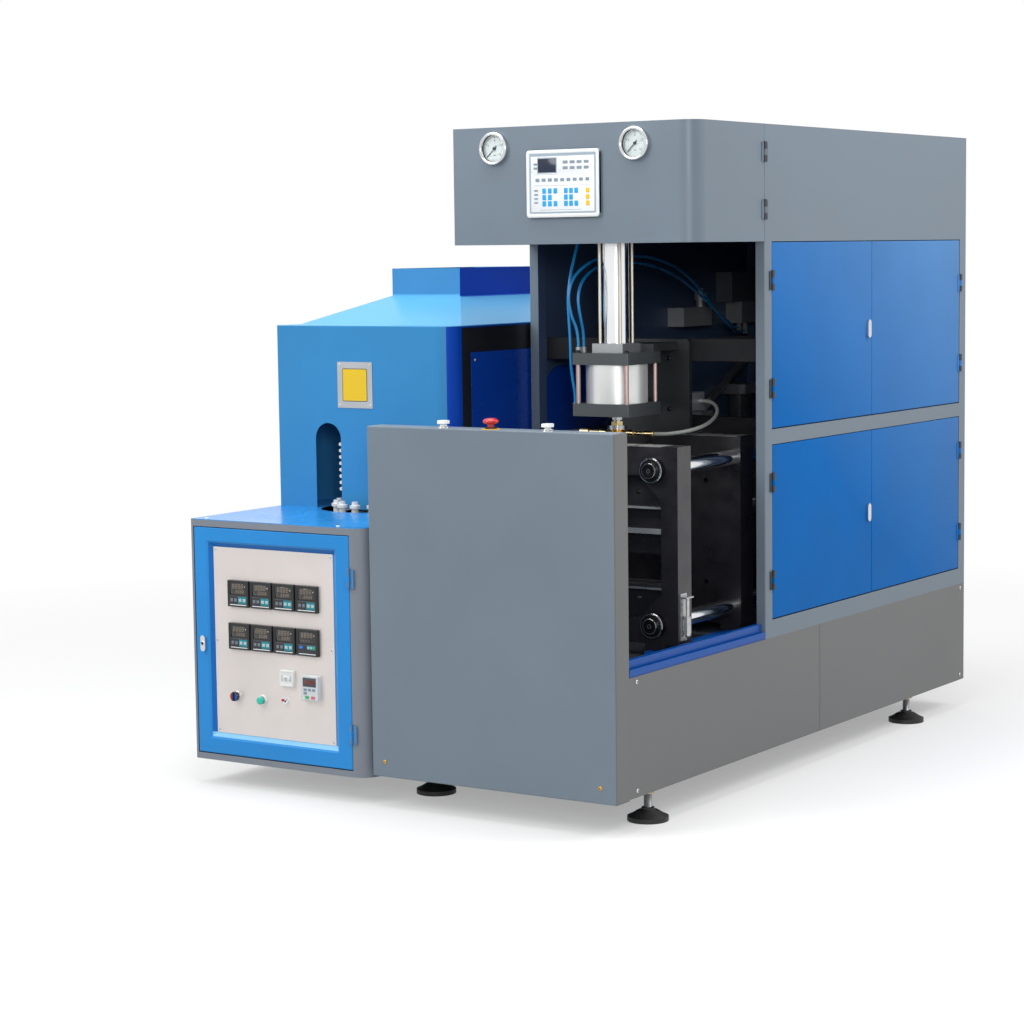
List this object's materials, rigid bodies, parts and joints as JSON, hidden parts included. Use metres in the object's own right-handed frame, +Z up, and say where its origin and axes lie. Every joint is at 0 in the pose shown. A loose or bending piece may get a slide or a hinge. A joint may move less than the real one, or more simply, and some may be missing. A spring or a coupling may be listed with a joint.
{
  "type": "blow moulding machine",
  "caption": "Two-station stretch blow moulding machine: clamp and blowing stack in an open steel housing beside a chain-fed infrared preform heater.",
  "frame": {"origin": "centre of the machine's footprint on the floor", "axes": "+X to the machine's right, +Y to its rear, +Z up"},
  "size_m": [1.3634, 2.133, 1.78],
  "materials": {
    "slate_paint": "satin",
    "door_blue_paint": "gloss",
    "heater_blue_paint": "gloss",
    "grey_cabinet_paint": "satin",
    "deep_blue_paint": "gloss",
    "black_paint": "satin",
    "track_blue_paint": "gloss",
    "cast_black_iron": "painted black",
    "chromed_steel": "polished",
    "zinc_steel": "zinc plated",
    "brushed_plate": "brushed",
    "nozzle_brass": "turned",
    "cap_aluminium": "anodised",
    "black_plastic": "matte",
    "white_plastic": "gloss",
    "red_plastic": "gloss",
    "green_plastic": "gloss",
    "blue_tube": "gloss",
    "grey_hose_rubber": "matte",
    "gauge_glass": "clear",
    "quartz_lamp": "clear"
  },
  "bodies": {
    "root": {"air_hose_canopy": "blue_tube", "air_hose_lower": "blue_tube", "air_hose_upper": "blue_tube", "base_frame": "slate_paint", "base_panels": "slate_paint", "bed_tracks": "track_blue_paint", "button_bases": "zinc_steel", "chain_links": "zinc_steel", "cylinder_bracket": "black_paint", "fixed_hinges": "black_paint", "front_cover": "slate_paint", "heater_cabinet": "grey_cabinet_paint", "heater_top": "heater_blue_paint", "hood_plates": "deep_blue_paint", "hood_roof": "heater_blue_paint", "hood_shell": "heater_blue_paint", "housing_frame": "slate_paint", "housing_panels": "slate_paint", "housing_side_right": "slate_paint", "lamp_banks": "quartz_lamp", "levelling_feet": "black_paint", "nozzle_hose": "grey_hose_rubber", "panel_screws": "zinc_steel", "preform_chucks": "white_plastic", "seal_cylinder": "cap_aluminium", "stretch_cylinder": "chromed_steel", "valve_blocks": "cap_aluminium"},
    "canopy_cover": {"canopy_cover": "slate_paint", "hmi_panel": "white_plastic", "pressure_gauges": "chromed_steel", "gauge_glasses": "gauge_glass"},
    "gauge_needle_left": {"gauge_needle_left": "black_plastic"},
    "gauge_needle_right": {"gauge_needle_right": "black_plastic"},
    "door_upper_front": {"door_upper_front": "door_blue_paint"},
    "door_upper_rear": {"door_upper_rear": "door_blue_paint"},
    "door_lower_front": {"door_lower_front": "door_blue_paint"},
    "door_lower_rear": {"door_lower_rear": "door_blue_paint"},
    "door_lock_upper": {"door_lock_upper": "chromed_steel"},
    "door_lock_lower": {"door_lock_lower": "chromed_steel"},
    "clamp_frame": {"front_platen": "cast_black_iron", "tie_bars": "chromed_steel", "rear_platen": "cast_black_iron", "clamp_cylinder": "cap_aluminium", "limit_switch": "zinc_steel"},
    "moving_platen": {"moving_platen": "cast_black_iron", "clamp_rod": "chromed_steel"},
    "sync_pinion": {"sync_pinion": "zinc_steel"},
    "blow_nozzle": {"blow_nozzle": "nozzle_brass", "nozzle_fittings": "nozzle_brass"},
    "stretch_rod": {"stretch_rod": "chromed_steel"},
    "start_button_left": {"start_button_left": "white_plastic"},
    "start_button_right": {"start_button_right": "white_plastic"},
    "emergency_button": {"emergency_button": "red_plastic"},
    "cabinet_door": {"cabinet_door": "heater_blue_paint", "control_panel": "brushed_plate", "panel_instruments": "black_plastic"},
    "cabinet_latch": {"cabinet_latch": "chromed_steel"},
    "selector_knob": {"selector_knob": "black_plastic"},
    "run_button": {"run_button": "green_plastic"},
    "toggle_lever": {"toggle_lever": "zinc_steel"}
  },
  "joints": [
    {"name": "canopy_hinge", "type": "hinge", "parent": "root", "child": "canopy_cover", "pos_m": [0.67675, -0.2715, 1.468], "axis": [0, 0, 1], "range_deg": [0, 90]},
    {"name": "upper_front_door_hinge", "type": "hinge", "parent": "root", "child": "door_upper_front", "pos_m": [0.67675, -0.2295, 0.964], "axis": [0, 0, -1], "range_deg": [0, 100]},
    {"name": "lower_front_door_hinge", "type": "hinge", "parent": "root", "child": "door_lower_front", "pos_m": [0.67675, -0.2295, 0.444], "axis": [0, 0, -1], "range_deg": [0, 100]},
    {"name": "upper_rear_door_hinge", "type": "hinge", "parent": "root", "child": "door_upper_rear", "pos_m": [0.67675, 1.0205, 0.964], "axis": [0, 0, 1], "range_deg": [0, 100]},
    {"name": "lower_rear_door_hinge", "type": "hinge", "parent": "root", "child": "door_lower_rear", "pos_m": [0.67675, 1.0205, 0.444], "axis": [0, 0, 1], "range_deg": [0, 100]},
    {"name": "upper_lock_turn", "type": "hinge", "parent": "door_upper_front", "child": "door_lock_upper", "pos_m": [0.67225, 0.3625, 1.215], "axis": [1, 0, 0], "range_deg": [0, 90]},
    {"name": "lower_lock_turn", "type": "hinge", "parent": "door_lower_front", "child": "door_lock_lower", "pos_m": [0.67225, 0.3625, 0.6815], "axis": [1, 0, 0], "range_deg": [0, 90]},
    {"name": "left_gauge_needle_turn", "type": "hinge", "parent": "canopy_cover", "child": "gauge_needle_left", "pos_m": [0.05725, -0.6425, 1.724], "axis": [0, 1, 0], "range_deg": [0, 270], "stiffness_Nm_per_rad": 0.002},
    {"name": "right_gauge_needle_turn", "type": "hinge", "parent": "canopy_cover", "child": "gauge_needle_right", "pos_m": [0.49325, -0.6425, 1.724], "axis": [0, 1, 0], "range_deg": [0, 270], "stiffness_Nm_per_rad": 0.002},
    {"name": "clamp_slide", "type": "slide", "parent": "root", "child": "clamp_frame", "axis": [0, 1, 0], "range_m": [0, 0.08]},
    {"name": "moving_platen_slide", "type": "slide", "parent": "root", "child": "moving_platen", "axis": [0, -1, 0], "range_m": [0, 0.08]},
    {"name": "sync_pinion_turn", "type": "hinge", "parent": "root", "child": "sync_pinion", "pos_m": [0.29825, -0.4205, 0.403], "axis": [0, 0, 1], "range_deg": [-115, 0]},
    {"name": "nozzle_slide", "type": "slide", "parent": "root", "child": "blow_nozzle", "axis": [0, 0, -1], "range_m": [0, 0.04]},
    {"name": "stretch_slide", "type": "slide", "parent": "root", "child": "stretch_rod", "axis": [0, 0, -1], "range_m": [0, 0.33]},
    {"name": "left_start_press", "type": "slide", "parent": "root", "child": "start_button_left", "axis": [0, 0, -1], "range_m": [0, 0.004], "stiffness_N_per_m": 400, "springref_m": -0.003},
    {"name": "right_start_press", "type": "slide", "parent": "root", "child": "start_button_right", "axis": [0, 0, -1], "range_m": [0, 0.004], "stiffness_N_per_m": 400, "springref_m": -0.003},
    {"name": "emergency_press", "type": "slide", "parent": "root", "child": "emergency_button", "axis": [0, 0, -1], "range_m": [0, 0.005], "stiffness_N_per_m": 400, "springref_m": -0.003},
    {"name": "cabinet_door_hinge", "type": "hinge", "parent": "root", "child": "cabinet_door", "pos_m": [-0.14275, -1.062, 0.089], "axis": [0, 0, 1], "range_deg": [0, 100]},
    {"name": "cabinet_latch_turn", "type": "hinge", "parent": "cabinet_door", "child": "cabinet_latch", "pos_m": [-0.64375, -1.0575, 0.393], "axis": [0, 1, 0], "range_deg": [0, 90]},
    {"name": "selector_turn", "type": "hinge", "parent": "cabinet_door", "child": "selector_knob", "pos_m": [-0.54275, -1.0465, 0.253], "axis": [0, 1, 0], "range_deg": [0, 90]},
    {"name": "run_button_press", "type": "slide", "parent": "cabinet_door", "child": "run_button", "axis": [0, 1, 0], "range_m": [0, 0.004], "stiffness_N_per_m": 400, "springref_m": -0.003},
    {"name": "toggle_throw", "type": "hinge", "parent": "cabinet_door", "child": "toggle_lever", "pos_m": [-0.37175, -1.0445, 0.254], "axis": [1, 0, 0], "range_deg": [0, 28]}
  ],
  "couplings": [
    {"joint": "moving_platen_slide", "follows": "clamp_slide", "ratio": 1},
    {"joint": "sync_pinion_turn", "follows": "clamp_slide", "rad_per_m": -25}
  ]
}
